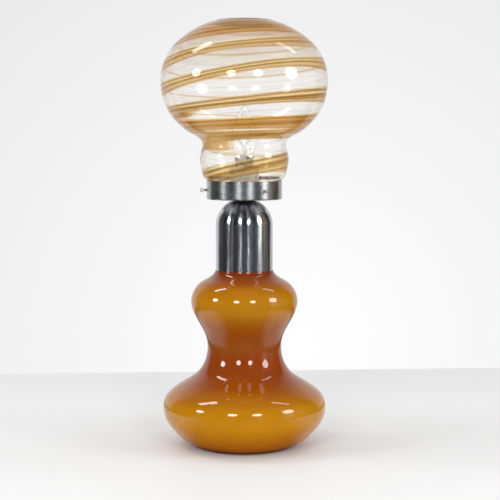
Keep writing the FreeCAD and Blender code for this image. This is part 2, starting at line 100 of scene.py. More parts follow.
# %% [markdown]
# ## Shader sums that read like Python
#
# A material is a tree of nodes, and wiring it by hand hides the idea behind it. Here one small
# class wraps a socket, so that a sum such as `1 - mask` adds the Math node itself. Colours and
# vectors keep their own nodes, because a Math node would turn a colour grey.


# %% A socket that can be used in sums
class Socket:
    """A socket of a node tree, or the tree alone where there is no socket yet."""

    def __init__(self, tree, socket=None):
        self.tree = tree
        self.socket = socket

    def node(self, kind, settings=None, inputs=None, output=0):
        """Adds a node: its settings first, then the values or links of its sockets."""
        made = self.tree.nodes.new(kind)
        for name, setting in (settings or {}).items():
            if name == "stops":
                fill_ramp(made.color_ramp, setting)
            else:
                setattr(made, name, setting)
        for name, value in (inputs or {}).items():
            if isinstance(value, Socket):
                self.tree.links.new(value.socket, made.inputs[name])
            else:
                made.inputs[name].default_value = value
        return Socket(self.tree, made.outputs[output]) if made.outputs else None

    def math(self, operation, *values):
        inputs = dict(enumerate((self, *values)))
        return self.node("ShaderNodeMath", {"operation": operation}, inputs)

    def math_from(self, operation, first):
        """The same with this socket as the second value."""
        return self.node("ShaderNodeMath", {"operation": operation}, {0: first, 1: self})

    def __add__(self, other):
        return self.math("ADD", other)

    def __radd__(self, other):
        return self.math_from("ADD", other)

    def __sub__(self, other):
        return self.math("SUBTRACT", other)

    def __rsub__(self, other):
        return self.math_from("SUBTRACT", other)

    def __mul__(self, other):
        return self.math("MULTIPLY", other)

    def __rmul__(self, other):
        return self.math_from("MULTIPLY", other)

    def __truediv__(self, other):
        return self.math("DIVIDE", other)

    def __rtruediv__(self, other):
        return self.math_from("DIVIDE", other)

    def __neg__(self):
        return self * -1

    def __abs__(self):
        return self.math("ABSOLUTE")


# %% [markdown]
# ## Colours and ramps
#
# Most finishes are a slow change between a few tones. A ramp holds them as stops, pairs of a place
# from 0 to 1 and a colour, and fades from each to the next.


# %% Colours and ramps
def grey(level):
    return (level, level, level, 1)


def opaque(red, green, blue):
    return (red, green, blue, 1)


def fill_ramp(holder, stops):
    """Stops are (place, colour) pairs from 0 to 1."""
    while len(holder.elements) > 1:
        holder.elements.remove(holder.elements[-1])
    holder.elements[0].position = stops[0][0]
    holder.elements[0].color = stops[0][1]
    for place, colour in stops[1:]:
        holder.elements.new(place).color = colour


def ramp(value, stops):
    return value.node("ShaderNodeValToRGB", {"stops": stops}, {"Fac": value})


# The Mix node has sockets for each kind of value. These are the places of those for colours.
mix_share, mix_first, mix_second, mix_result = 0, 6, 7, 2


def mix_colour(share, first, second, blend="MIX"):
    settings = {"data_type": "RGBA", "blend_type": blend}
    inputs = {mix_share: share, mix_first: first, mix_second: second}
    start = share if isinstance(share, Socket) else first
    return start.node("ShaderNodeMix", settings, inputs, output=mix_result)


def tinted(colour, tint, share=1.0):
    """The colour as it looks through a filter of the tint's colour."""
    return mix_colour(share, colour, tint, "MULTIPLY")


# %% [markdown]
# ## Places and grain
#
# A finish follows where a point lies on the lamp. Its grain is noise at that place, squeezed along
# one axis where the real grain runs one way, as it does in brushed metal and drawn glass.


# %% Places and grain
def axes_of(vector):
    """The x, y and z of a vector, as three sockets."""
    split = vector.node("ShaderNodeSeparateXYZ", inputs={"Vector": vector}).socket.node
    return [Socket(vector.tree, split.outputs[axis]) for axis in range(3)]


def place_on_lamp(tree):
    """Where a point is on the lamp, in metres."""
    return tree.node("ShaderNodeTexCoord", output="Object")


def stretched(where, x=1, y=1, z=1):
    """The place scaled by axis. A large number packs the grain close along that axis."""
    settings = {"operation": "MULTIPLY"}
    return where.node("ShaderNodeVectorMath", settings, {0: where, 1: (x, y, z)})


def noise(where, scale, detail=2.0, roughness=0.5):
    inputs = {"Vector": where, "Scale": scale, "Detail": detail, "Roughness": roughness}
    return where.node("ShaderNodeTexNoise", inputs=inputs)


def soft_step(value, start, end):
    """0 before start and 1 past end, also where end is the smaller of the two."""
    settings = {"interpolation_type": "SMOOTHSTEP"}
    low, high = sorted((start, end))
    inputs = {"Value": value, "From Min": low, "From Max": high}
    step = value.node("ShaderNodeMapRange", settings, inputs)
    return step if start < end else 1 - step


# %% [markdown]
# ## From a recipe to a finish
#
# Every finish ends in the Principled surface, which covers glass, metal and felt alike. A recipe is
# a function that fills an empty node tree and returns its shader, so each stuff is a few lines.


# %% Surfaces and finishes
def bump(height, depth_mm, strength=1.0):
    inputs = {"Height": height, "Distance": depth_mm / 1000, "Strength": strength}
    return height.node("ShaderNodeBump", inputs=inputs)


def surface(tree, **inputs):
    """The Principled surface. A word such as base_color names the socket Base Color."""
    named = {}
    for word, value in inputs.items():
        named[word.replace("_", " ").title().replace("Ior", "IOR")] = value
    return tree.node("ShaderNodeBsdfPrincipled", inputs=named)


def finish_named(name, recipe):
    """A material whose node tree is filled by the recipe, which returns the final shader."""
    material = bpy.data.materials.new(name)
    material.use_nodes = True
    material.node_tree.nodes.clear()
    tree = Socket(material.node_tree)
    tree.node("ShaderNodeOutputMaterial", inputs={"Surface": recipe(tree)})
    return material


def give(material, *names):
    """Gives a finish to frame nodes or to new pieces."""
    for name in names:
        piece = nodes[name] if isinstance(name, str) else name
        if not piece.data.materials:
            piece.data.materials.append(material)
        for holder in piece.material_slots:
            holder.material = material
    print(material.name, "on", len(names))


# %% [markdown]
# ## The table
#
# The lamp stands on a pale table with an edge behind the lamp, which shows as a line in the
# picture, and another far in front of it. A white table would light up every glossy curve from
# below. In the picture only the lamp's sides are lit so: in front of the lamp the mirrored table
# is dark. So mirrors see it dark, apart from the near table beside and behind the lamp.

# %% Table
table_back = 0.578
table_front = -2.2
table_half_width = 2.6
table_slant = 0.07

table_mesh = bpy.data.meshes.new("table")
back_shift = table_half_width * table_slant
corners = [
    (-table_half_width, table_front, 0),
    (table_half_width, table_front, 0),
    (table_half_width, table_back + back_shift, 0),
    (-table_half_width, table_back - back_shift, 0),
]
table_mesh.from_pydata(corners, [], [(0, 1, 2, 3)])
table = bpy.data.objects.new("table", table_mesh)
bpy.context.scene.collection.objects.link(table)
print("table edge", table_back, "m behind the lamp")

# %% [markdown]
# The table top's level in mirrors has stops over the turn from straight ahead, where 1 is straight
# behind the lamp. Farther out than the near table, mirrors see it dark all round.

# %% Table top
dark_in_mirrors = 0.08
near_in_mirrors = ((0.0, dark_in_mirrors), (0.27, 0.10), (0.42, 1.0))
near_radius = 0.36
far_radius = 0.6


def ray_kind(tree, name):
    """1 on the rays that Light Path calls by that name, else 0."""
    return tree.node("ShaderNodeLightPath", output=name)


def table_recipe(tree):
    where = place_on_lamp(tree)
    x, y, _ = axes_of(where)
    mottle = ramp(noise(where, scale=3.0), [(0.3, grey(0.0)), (0.7, grey(1.0))])
    pale = mix_colour(mottle, opaque(0.82, 0.82, 0.82), opaque(0.85, 0.852, 0.855))
    turned = abs(x.math("ARCTAN2", -y)) / math.pi
    far = soft_step((x * x + y * y).math("SQRT"), near_radius, far_radius)
    near = ramp(turned, [(turn, grey(level)) for turn, level in near_in_mirrors])
    mirrored = mix_colour(far, near, grey(dark_in_mirrors))
    mirrored = mirrored.node("ShaderNodeRGBToBW", inputs={"Color": mirrored})
    level = 1 - ray_kind(tree, "Is Glossy Ray") * (1 - mirrored)
    return surface(tree, base_color=mix_colour(level, grey(0.0), pale), roughness=0.6)


give(finish_named("table_top", table_recipe), table)

# %% [markdown]
# ## The studio
#
# The backdrop is the world itself. To the camera and through glass it glows softly behind the lamp.
# A mirror sees a dark studio instead: floor and walls with a few upright bright strips, the stands
# and covers of the lights, and the white backdrop only where it looks past the lamp's sides.
# The levels follow the azimuth, which is counted in degrees from straight ahead of the lamp, to its
# right.

# %% Studio as mirrors see it
studio_by_azimuth = (
    (-180, grey(0.92)),
    (-132, grey(0.75)),
    (-124, grey(0.28)),
    (-118, grey(0.11)),
    (-98, grey(0.09)),
    (-93, grey(0.03)),
    (-84, grey(0.03)),
    (-76, grey(0.06)),
    (-70, grey(0.24)),
    (-64, grey(0.20)),
    (-58, grey(0.03)),
    (-50, opaque(0.26, 0.26, 0.28)),
    (-43, grey(0.04)),
    (-36, grey(0.02)),
    (-26, opaque(0.055, 0.060, 0.080)),
    (-17, opaque(0.100, 0.115, 0.150)),
    (-8, opaque(0.050, 0.055, 0.070)),
    (8, opaque(0.070, 0.080, 0.100)),
    (20, opaque(0.300, 0.330, 0.390)),
    (33, opaque(0.120, 0.130, 0.150)),
    (42, opaque(0.060, 0.065, 0.080)),
    (54, grey(0.11)),
    (58, grey(0.90)),
    (72, grey(0.85)),
    (79, grey(0.20)),
    (89, opaque(0.50, 0.43, 0.36)),
    (98, opaque(0.15, 0.11, 0.08)),
    (105, opaque(0.24, 0.17, 0.12)),
    (112, opaque(0.07, 0.05, 0.04)),
    (124, grey(0.08)),
    (134, grey(0.60)),
    (180, grey(0.92)),
)

world = bpy.data.worlds.new("studio")
world.use_nodes = True
world.node_tree.nodes.clear()
bpy.context.scene.world = world
sky = Socket(world.node_tree)
direction = sky.node("ShaderNodeTexCoord", output="Generated")
rightwards, backwards, upwards = axes_of(direction)
azimuth = rightwards.math("ARCTAN2", -backwards)
studio_stops = [(0.5 + degrees / 360, level) for degrees, level in studio_by_azimuth]
studio = ramp(azimuth / (2 * math.pi) + 0.5, studio_stops)
print("studio stops", len(studio_by_azimuth))

# %% [markdown]
# The strips end at a dark ceiling, so they grow dimmer on the way up, but the backdrop behind the
# lamp stays as bright. Each fade below is a pair of heights on the ball of directions, or for the
# backdrop a pair of places from front to back. Matt pieces are lit evenly from all sides.

# %% World
glow_centre = (0.041, 0.987, -0.154)
glow_stops = ((0.0, 1.0), (0.07, 0.965), (0.22, 0.885), (0.35, 0.81))
strips_dimmed = 0.6
strips_fade = (0.05, 0.4)
backdrop_fade = (0.62, 0.45)
ceiling_fade = (0.4, 0.9)
ceiling_light = 0.10
matt_light = 0.75
glass_gain = 1.06

strips_above = tinted(studio, grey(strips_dimmed), soft_step(upwards, *strips_fade))
walls = mix_colour(soft_step(backwards, *backdrop_fade), studio, strips_above)
mirrored = mix_colour(soft_step(upwards, *ceiling_fade), walls, grey(ceiling_light))
lit = mix_colour(ray_kind(sky, "Is Glossy Ray"), grey(matt_light), mirrored)

settings = {"operation": "DISTANCE"}
inputs = {0: direction, 1: glow_centre}
from_glow = sky.node("ShaderNodeVectorMath", settings, inputs, output="Value")
backdrop = ramp(from_glow, [(place, grey(level)) for place, level in glow_stops])
through = ray_kind(sky, "Is Transmission Ray")
seen = ray_kind(sky, "Is Camera Ray").math("MAXIMUM", through)
inputs = {"Color": mix_colour(seen, lit, backdrop), "Strength": through * (glass_gain - 1) + 1}
shine = sky.node("ShaderNodeBackground", inputs=inputs)
sky.node("ShaderNodeOutputWorld", inputs={"Surface": shine})
print("world nodes", len(world.node_tree.nodes))

# %% [markdown]
# ## The lights
#
# Four round lights stand in a row in front of the lamp, higher than the camera. Each curved surface
# mirrors all four, and that row of bright dots is what makes the glass look wet. A tall strip leans
# over each side. Their directions come from where the dots and streaks sit on the globe.

# %% Lights
light_distance = 1.9
lights_aim = Vector((0, 0, lamp_height * 0.6))
dots_lift = 15
strips_lift = 54
strip_length = 0.70


def light_from(name, turn, lift, width, strength, length=None):
    """An area light at degrees from straight ahead and above the horizon, facing the lamp.

    It is a disc, or a strip where it has a length.
    """
    data = bpy.data.lights.new(name, "AREA")
    data.size = width
    if length is None:
        data.shape = "DISK"
        area = math.pi * width * width / 4
    else:
        data.shape = "RECTANGLE"
        data.size_y = length
        area = width * length
    data.energy = strength * math.pi * area
    turn, lift = math.radians(turn), math.radians(lift)
    ahead = math.cos(lift)
    way = Vector((math.sin(turn) * ahead, -math.cos(turn) * ahead, math.sin(lift)))
    light = bpy.data.objects.new(name, data)
    light.location = lights_aim + way * light_distance
    light.rotation_euler = way.to_track_quat("Z", "Y").to_euler()
    bpy.context.scene.collection.objects.link(light)


light_from("round_light_left", -67, dots_lift, width=0.42, strength=14)
light_from("round_light_near_left", -17, dots_lift, width=0.42, strength=14)
light_from("round_light_near_right", 18, dots_lift, width=0.42, strength=14)
light_from("round_light_right", 66, dots_lift, width=0.62, strength=9)
light_from("tall_strip_left", -95, strips_lift, width=0.27, strength=9, length=strip_length)
light_from("tall_strip_right", 95, strips_lift, width=0.20, strength=4, length=strip_length)
print("lights", len(bpy.data.lights))

# %% [markdown]
# ## Amber base glass
#
# The base is blown in two layers: opal inside and amber outside. Where the glass was pulled narrow,
# at the neck and the waist, the amber is thick and brown, and where it was blown wide it is thin
# and yellow. A real layer would need refraction and time, so the colour follows the height instead,
# through a ramp of red and green levels, with slow drifts that break up its edges. Below the widest
# point the levels are also raised, as painted light against the shade that falls under the bulge.

# %% Amber glass
base_names = [name for name in nodes if name.startswith("base_glass")]
base_height = max(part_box(name)[1].z for name in base_names)
# The stops below the widest point are also raised: painted light that lifts the shade under the
# bulge.
amber_and_painted_underlight_by_height_mm = (
    (4, 0.400, 0.095),
    (10, 0.430, 0.125),
    (18, 0.455, 0.150),
    (30, 0.475, 0.185),
    (43, 0.485, 0.205),
    (64, 0.436, 0.180),
    (73, 0.375, 0.128),
    (81, 0.329, 0.102),
    (90, 0.273, 0.057),
    (105, 0.240, 0.041),
    (128, 0.250, 0.041),
    (138, 0.253, 0.060),
    (152, 0.264, 0.058),
    (164, 0.275, 0.066),
    (175, 0.323, 0.101),
    (187, 0.395, 0.155),
    (205, 0.412, 0.173),
    (218, 0.375, 0.134),
    (228, 0.278, 0.064),
    (236, 0.180, 0.027),
)
amber_blue = 0.002
amber_drift = 0.02
amber_stops = [
    (height_mm / 1000 / base_height, opaque(red, green, amber_blue))
    for height_mm, red, green in amber_and_painted_underlight_by_height_mm
]


def amber_recipe(tree):
    where = place_on_lamp(tree)
    _, _, z = axes_of(where)
    drift = noise(stretched(where, z=3), scale=9.0, detail=2.0)
    height = z / base_height + (drift - 0.5) * amber_drift
    depth = noise(stretched(where, z=2), scale=30.0, detail=3.0, roughness=0.6)
    tint = ramp(depth, [(0.35, opaque(0.94, 0.92, 0.9)), (0.65, grey(1.0))])
    colour = tinted(ramp(height, amber_stops), tint)
    waves = noise(stretched(where, z=2.5), scale=26.0, detail=1.0)
    ripple = bump(waves, depth_mm=0.10, strength=0.4)
    return surface(tree, base_color=colour, roughness=0.05, normal=ripple, ior=1.58)


give(finish_named("amber_cased_glass", amber_recipe), *base_names)

# %% [markdown]
# ## Chrome
#
# The cap over the neck is chrome, so it shows the room rather than a colour of its own. A perfect
# mirror looks like a drawing. The real cap shows upright streaks, as metal does that was brushed
# before it was plated. So fine upright marks change its tone and gloss, a slow waviness bends what
# it mirrors, and the anisotropic blur spreads each light one way.

# %% Chrome
quarter_turn = 0.25


def chrome_recipe(tree):
    where = place_on_lamp(tree)
    marks = noise(stretched(where, z=0.06), scale=230.0, detail=4.0, roughness=0.7)
    tone = ramp(marks, [(0.35, opaque(0.30, 0.32, 0.36)), (0.6, opaque(0.74, 0.75, 0.78))])
    rough = ramp(marks, [(0.4, grey(0.13)), (0.75, grey(0.22))])
    waves = noise(stretched(where, z=0.5), scale=60.0, detail=2.0)
    wave = bump(waves, depth_mm=0.05, strength=0.6)
    brushed = {"anisotropic": 1.0, "anisotropic_rotation": quarter_turn}
    return surface(tree, base_color=tone, metallic=1.0, roughness=rough, normal=wave, **brushed)


give(finish_named("polished_chrome", chrome_recipe), "chrome_cap")

# %% [markdown]
# ## Turned steel
#
# The gallery and its thumb screws are plain steel, turned on a lathe. The tool leaves a fine grain
# that runs round them, and years of handling leave stains, so both roughness and tone vary.


# %% Turned steel
def turned_steel_recipe(tree):
    where = place_on_lamp(tree)
    grain = noise(stretched(where, x=6, y=6, z=900), scale=1.0, detail=3.0, roughness=0.6)
    stain = noise(where, scale=90.0, detail=4.0, roughness=0.65)
    tone = ramp(stain, [(0.3, opaque(0.42, 0.43, 0.44)), (0.7, opaque(0.56, 0.565, 0.57))])
    both = stain * 0.5 + grain * 0.5
    rough = ramp(both, [(0.35, grey(0.24)), (0.7, grey(0.36))])
    shape = bump(both, depth_mm=0.05, strength=0.5)
    brushed = {"anisotropic": 0.7, "anisotropic_rotation": quarter_turn}
    return surface(tree, base_color=tone, metallic=1.0, roughness=rough, normal=shape, **brushed)


screw_names = [name for name in nodes if name.startswith(("shade_screw_", "screw_eye_"))]
steel = finish_named("turned_steel", turned_steel_recipe)
give(steel, "gallery", "screw_nuts", *screw_names)

# %% [markdown]
# ## Zinc
#
# The discs, nuts and the rod inside are zinc-plated, which dries in a spangle of paler and duller
# spots. They show only from below and in the gap over the cap.

# %% Zinc-plated fittings
zinc_names = (
    "bottom_plate",
    "bottom_washer",
    "bottom_nut",
    "threaded_rod",
    "neck_plate",
    "neck_washer",
    "neck_nut",
    "gallery_spacer",
    "gallery_nut",
)


def zinc_recipe(tree):
    spangle = noise(place_on_lamp(tree), scale=180.0, detail=2.0)
    tone = ramp(spangle, [(0.35, opaque(0.48, 0.48, 0.47)), (0.7, opaque(0.62, 0.62, 0.60))])
    rough = ramp(spangle, [(0.3, grey(0.3)), (0.7, grey(0.45))])
    return surface(tree, base_color=tone, metallic=1.0, roughness=rough)


give(finish_named("zinc_plate", zinc_recipe), *zinc_names)

# %% [markdown]
# ## Felt and rubber
#
# The felt ring keeps the foot from scratching the table, and rubber rings sit where glass meets
# metal. Neither shines. Felt shows its fibres and rubber a faint moulded skin, both as bumps.


# %% Felt
def felt_recipe(tree):
    fibre = noise(place_on_lamp(tree), scale=900.0, detail=4.0, roughness=0.8)
    tone = ramp(fibre, [(0.3, opaque(0.010, 0.022, 0.012)), (0.7, opaque(0.035, 0.06, 0.038))])
    return surface(tree, base_color=tone, roughness=0.95, normal=bump(fibre, depth_mm=0.3))


give(finish_named("pressed_felt", felt_recipe), "felt_pad")


# %% Rubber
def rubber_recipe(tree):
    skin = noise(place_on_lamp(tree), scale=400.0, detail=3.0)
    tone = ramp(skin, [(0.3, grey(0.012)), (0.7, grey(0.03))])
    shape = bump(skin, depth_mm=0.03, strength=0.5)
    return surface(tree, base_color=tone, roughness=0.55, normal=shape)


rubber_names = ["centring_ring", "neck_gasket", "shade_seat_ring", "cord_bush"]
give(finish_named("soft_rubber", rubber_recipe), *rubber_names)

# %% [markdown]
# ## Porcelain and brass
#
# The lampholder is glazed porcelain round brass contacts. The glaze pools, which makes slow
# patches, and it gets a little light of its own, because the striped glass round it lets too
# little in.


# %% Porcelain
def porcelain_recipe(tree):
    glaze = noise(place_on_lamp(tree), scale=45.0, detail=2.0)
    tone = ramp(glaze, [(0.3, opaque(0.84, 0.83, 0.81)), (0.7, opaque(0.92, 0.915, 0.90))])
    shape = bump(glaze, depth_mm=0.1, strength=0.4)
    painted_glow = {"emission_color": tone, "emission_strength": 0.10}
    return surface(tree, base_color=tone, roughness=0.12, normal=shape, **painted_glow)


porcelain_names = ["lampholder_cap", "lampholder_sleeve", "lampholder_core"]
give(finish_named("glazed_porcelain", porcelain_recipe), *porcelain_names)


# %% Brass
def brass_recipe(tree):
    tarnish = noise(place_on_lamp(tree), scale=120.0, detail=4.0, roughness=0.6)
    tone = ramp(tarnish, [(0.35, opaque(0.62, 0.42, 0.16)), (0.7, opaque(0.80, 0.60, 0.27))])
    rough = ramp(tarnish, [(0.3, grey(0.2)), (0.7, grey(0.4))])
    return surface(tree, base_color=tone, metallic=1.0, roughness=rough)


brass_names = ["lampholder_screw_shell", "lampholder_contact", "lampholder_terminals"]
give(finish_named("plain_brass", brass_recipe), *brass_names, "terminal_screws")

# %% [markdown]
# ## The shade's wall
#
# The frame holds the shade in lengths, one above the other. The real one is blown in one go, and a
# clear glass would show each joint as a ring. So the lengths are measured and one smooth wall is
# turned from them: the outside from its faces that look away from the axis, the inside from the
# rest. At the crown the level faces look up or down instead, so the upward ones count as outside.
# The middle of the ceiling under the crown slopes just enough to be taken for outside as well, so
# both lines fold back and forth there, within half a millimetre of height inside the thick glass.

# %% Measure the shade's wall
shade_names = frame["record"]["behaviour"]["bodies"]["shade"]
shade_top = max(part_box(name)[1].z for name in shade_names)
crown_depth = 0.01
level_limit = 0.01
crown_weight = 0.02
least_facing = 0.005
on_axis = 1e-6
digits = 5
print("shade lengths", len(shade_names), "top", round(shade_top, 4))


def facing_from_axis(face):
    """How far a face looks away from the axis: 1 straight away, -1 straight at it."""
    radius = math.hypot(face.center.x, face.center.y)
    outward = face.normal.x * face.center.x + face.normal.y * face.center.y
    facing = outward / max(radius, on_axis)
    if abs(facing) < level_limit and face.center.z > shade_top - crown_depth:
        facing = face.normal.z * crown_weight
    return facing


def wall_line(side):
    """The outer (side 1) or inner (side -1) wall as radii and heights, from foot to crown."""
    points = set()
    for name in shade_names:
        mesh = nodes[name].data
        for face in mesh.polygons:
            if facing_from_axis(face) * side > least_facing:
                for index in face.vertices:
                    x, y, z = mesh.vertices[index].co
                    points.add((round(z, digits), round(math.hypot(x, y), digits)))
    heights, radii = np.array(sorted(points)).T
    return np.append(radii, 0.0), np.append(heights, heights[-1])


# %% [markdown]
# The measured line has facets. It is laid out again in even steps, and the corners between the
# facets are rounded away. Blender can spin a line round an axis, but the order of the faces that it
# makes changes from run to run. So each point of the line becomes a ring of corners here, and the
# rings are joined by faces: down the outside from the crown, and up the inside.

# %% Turn one smooth shade
wall_step = 0.0022
wall_turns = 144
rounding_passes = 3
least_gap = 1e-6


def even_line(radii, heights):
    """The same line in even steps, with its corners rounded away and no two points together."""
    run = np.concatenate([[0], np.cumsum(np.hypot(np.diff(radii), np.diff(heights)))])
    places = np.linspace(0, run[-1], int(run[-1] / wall_step) + 1)
    line = np.stack([np.interp(places, run, radii), np.interp(places, run, heights)])
    for _ in range(rounding_passes):
        line[:, 1:-1] = (line[:, :-2] + 2 * line[:, 1:-1] + line[:, 2:]) / 4
    apart = np.hypot(*np.diff(line)) > least_gap
    return line[:, np.append(apart, True)].T


def corner_index(ring, turn, last_ring):
    """The place of a ring's corner in the mesh. The first and the last ring are one corner each."""
    if ring == 0:
        return 0
    before = 1 + (ring - 1) * wall_turns
    return before if ring == last_ring else before + turn % wall_turns


def turned_piece(name, line):
    """A mesh turned round the lamp's axis from a line of (radius, height) with both ends on it."""
    turns = [2 * math.pi * turn / wall_turns for turn in range(wall_turns)]
    corners = [(0, 0, line[0][1])]
    for radius, height in line[1:-1]:
        corners += [(radius * math.cos(turn), radius * math.sin(turn), height) for turn in turns]
    corners.append((0, 0, line[-1][1]))

    faces = []
    for ring in range(len(line) - 1):
        for turn in range(wall_turns):
            around = ((ring, turn), (ring + 1, turn), (ring + 1, turn + 1), (ring, turn + 1))
            indices = [corner_index(*corner, len(line) - 1) for corner in around]
            faces.append(list(dict.fromkeys(indices)))

    mesh = bpy.data.meshes.new(name)
    mesh.from_pydata(corners, [], faces)
    mesh.shade_smooth()
    piece = bpy.data.objects.new(name, mesh)
    bpy.context.scene.collection.objects.link(piece)
    return piece


outside = even_line(*wall_line(1))
inside = even_line(*wall_line(-1))
shade = turned_piece("blown_shade", [*outside[::-1], *inside])
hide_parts(*shade_names)
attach(shade, "shade")
print("shade points", len(outside), len(inside), "faces", len(shade.data.polygons))

# %% [markdown]
# ## The amber trail
#
# The shade is clear glass with one amber trail wound round it from the neck to the crown. The trail
# was laid by hand: it climbs fast across the front and hardly at all across the back.
# Painted rings would look like rings, so the trail is one spiral. A ramp turns height into turns of
# the trail, and the angle round the axis is taken away. What is left over repeats once a turn.
# The sway is how far a turn rises above its own middle at the lamp's front right.

# %% Turns of the trail
trail_span = 0.24
trail_bottom = shade_top - trail_span
turn_heights_mm = (330, 374.5, 426, 437, 464, 499, 534, 560, 576, 588)
sway_by_height_mm = (
    (340, 5.0),
    (352, 7.0),
    (400, 7.0),
    (420, 1.0),
    (440, 0.5),
    (447, 1.0),
    (468, 6.0),
    (481, 8.5),
    (505, 15.0),
    (520, 16.5),
    (530, 14.5),
    (544, 9.5),
    (563, 4.0),
    (578, 0.0),
)
most_sway_mm = 20.0
sway_direction = math.radians(315)
front = math.radians(270)


def share_up(height_mm):
    return (height_mm / 1000 - trail_bottom) / trail_span


def by_height(up, stops_mm):
    """A ramp over the shade's height, from stops that give heights in millimetres."""
    return ramp(up, [(share_up(height_mm), colour) for height_mm, colour in stops_mm])


def trail_turns(tree):
    """How many turns of the trail lie below a point, its angle and its share of the height."""
    x, y, z = axes_of(place_on_lamp(tree))
    up = (z - trail_bottom) / trail_span
    angle = y.math("ARCTAN2", x)
    stops_mm = [(height, grey(sway / most_sway_mm)) for height, sway in sway_by_height_mm]
    lean = by_height(up, stops_mm) * (angle - sway_direction).math("COSINE")
    level = up - lean * (most_sway_mm / 1000 / trail_span)
    count = len(turn_heights_mm) - 1
    stops_mm = [(height, grey(turn / count)) for turn, height in enumerate(turn_heights_mm)]
    turns = by_height(level, stops_mm) * count - (angle - front) / (2 * math.pi)
    return turns, angle, up


print("trail turns", len(turn_heights_mm) - 1)

# %% [markdown]
# A band isn't one flat amber. Lines of thin and thick glass run along it, pale at its edges and
# dark within. The bands are wider at the neck and the crown, and warmer there, because the glass
# is thicker. Half a band's width is given as a share of a turn.

# %% Colours of the shade
half_width_by_height_mm = (
    (345, 0.34),
    (388, 0.34),
    (402, 0.20),
    (419, 0.18),
    (425, 0.55),
    (445, 0.50),
    (456, 0.25),
    (530, 0.23),
    (542, 0.34),
    (560, 0.50),
    (576, 0.56),
)
band_colours = (
    (0.00, opaque(0.99, 0.90, 0.78)),
    (0.08, opaque(0.92, 0.76, 0.56)),
    (0.16, opaque(0.58, 0.36, 0.14)),
    (0.25, opaque(0.90, 0.70, 0.44)),
    (0.36, opaque(0.80, 0.58, 0.28)),
    (0.46, opaque(0.58, 0.35, 0.10)),
    (0.53, opaque(0.50, 0.27, 0.06)),
    (0.62, opaque(0.99, 0.82, 0.50)),
    (0.71, opaque(0.88, 0.67, 0.32)),
    (0.79, opaque(0.48, 0.26, 0.07)),
    (0.88, opaque(0.99, 0.84, 0.60)),
    (1.00, opaque(0.99, 0.93, 0.78)),
)
clear_by_height_mm = (
    (345, opaque(0.93, 0.88, 0.83)),
    (372, opaque(0.97, 0.95, 0.92)),
    (385, opaque(1.0, 1.0, 1.0)),
    (500, opaque(1.0, 1.0, 1.0)),
    (530, opaque(0.96, 0.93, 0.89)),
    (552, opaque(0.94, 0.89, 0.85)),
    (566, opaque(0.90, 0.81, 0.74)),
    (577, opaque(0.72, 0.56, 0.43)),
)
band_by_height_mm = (
    (345, opaque(0.66, 0.46, 0.30)),
    (360, opaque(0.92, 0.84, 0.72)),
    (372, opaque(1.0, 1.0, 0.9)),
    (412, opaque(1.0, 1.0, 1.0)),
    (424, opaque(0.98, 0.84, 0.60)),
    (447, opaque(0.96, 0.74, 0.40)),
    (458, opaque(1.0, 0.98, 0.94)),
    (545, opaque(1.0, 1.0, 1.0)),
    (565, opaque(0.98, 0.80, 0.56)),
)
# Edge-on tints: the longer path through the glass, and painted shade for the dark room mirrored at
# the edges.
rim_tint_and_shade = opaque(0.86, 0.77, 0.69)
rim_gold_and_shade = opaque(0.84, 0.70, 0.54)
smear_gold = opaque(0.78, 0.53, 0.24)
print("band colours", len(band_colours))

# %% [markdown]
# Two glasses share the wall: a clear one and an amber one. The trail's cover says which shows.
# In front the cover is the whole band, and round the back a thin thread and a trace of the band.
# At the neck's left the picture shows a smear of amber between two turns.

# %% Cover of the trail
back_band = 0.04
thread_place = 0.03
thread_rim = (0.07, 0.03)
thread_cover = 0.3
front_rim = (-0.25, 0.2)
band_rim = (1.0, 0.85)
smear_side = (-0.12, -0.48)
smear_front = (0.0, 0.2)
smear_foot_mm = (402, 406)
smear_top_mm = (428, 420)


def between_heights(up, foot_mm, top_mm):
    foot = soft_step(up, *(share_up(height_mm) for height_mm in foot_mm))
    return foot * soft_step(up, *(share_up(height_mm) for height_mm in top_mm))


def trail_cover(across, offset, facing, smear):
    """How much amber covers a point, from 0 to 1."""
    in_front = soft_step(facing, *front_rim)
    band = soft_step(abs(across), *band_rim) * (in_front * (1 - back_band) + back_band)
    thread = soft_step(abs(offset - thread_place), *thread_rim) * thread_cover
    return (band + thread * (1 - in_front)).math("MAXIMUM", smear)


# %% [markdown]
# The drawn lines are noise in the trail's own directions: slow round the lamp and fast across the
# trail. Seen edge on, both glasses take a brown tint, partly because the eye looks through more of
# them and partly as painted shade for the dark room that the glass's edges bend and mirror.

# %% Striped glass
slow_front = 0.6
slow_side = 0.5
lines_in_gold = (
    (0.32, opaque(0.62, 0.52, 0.40)),
    (0.46, grey(0.94)),
    (0.66, grey(1.0)),
)
threads_in_clear = (
    (0.30, opaque(0.80, 0.73, 0.66)),
    (0.40, opaque(0.97, 0.955, 0.94)),
    (0.55, grey(1.0)),
)
side_width = 1.35
front_narrower = 0.5
least_width = 0.8
width_wander = 0.4
profile_wander = 0.3
most_smear = 1.25
smear_wander = 0.5
rim_of_clear = (0.35, 0.9)
rim_of_gold = (0.4, 0.9)
clear_glass = {"transmission_weight": 1.0, "roughness": 0.0, "ior": 1.4}
amber_glass = {"transmission_weight": 0.80, "roughness": 0.04, "ior": 1.4}


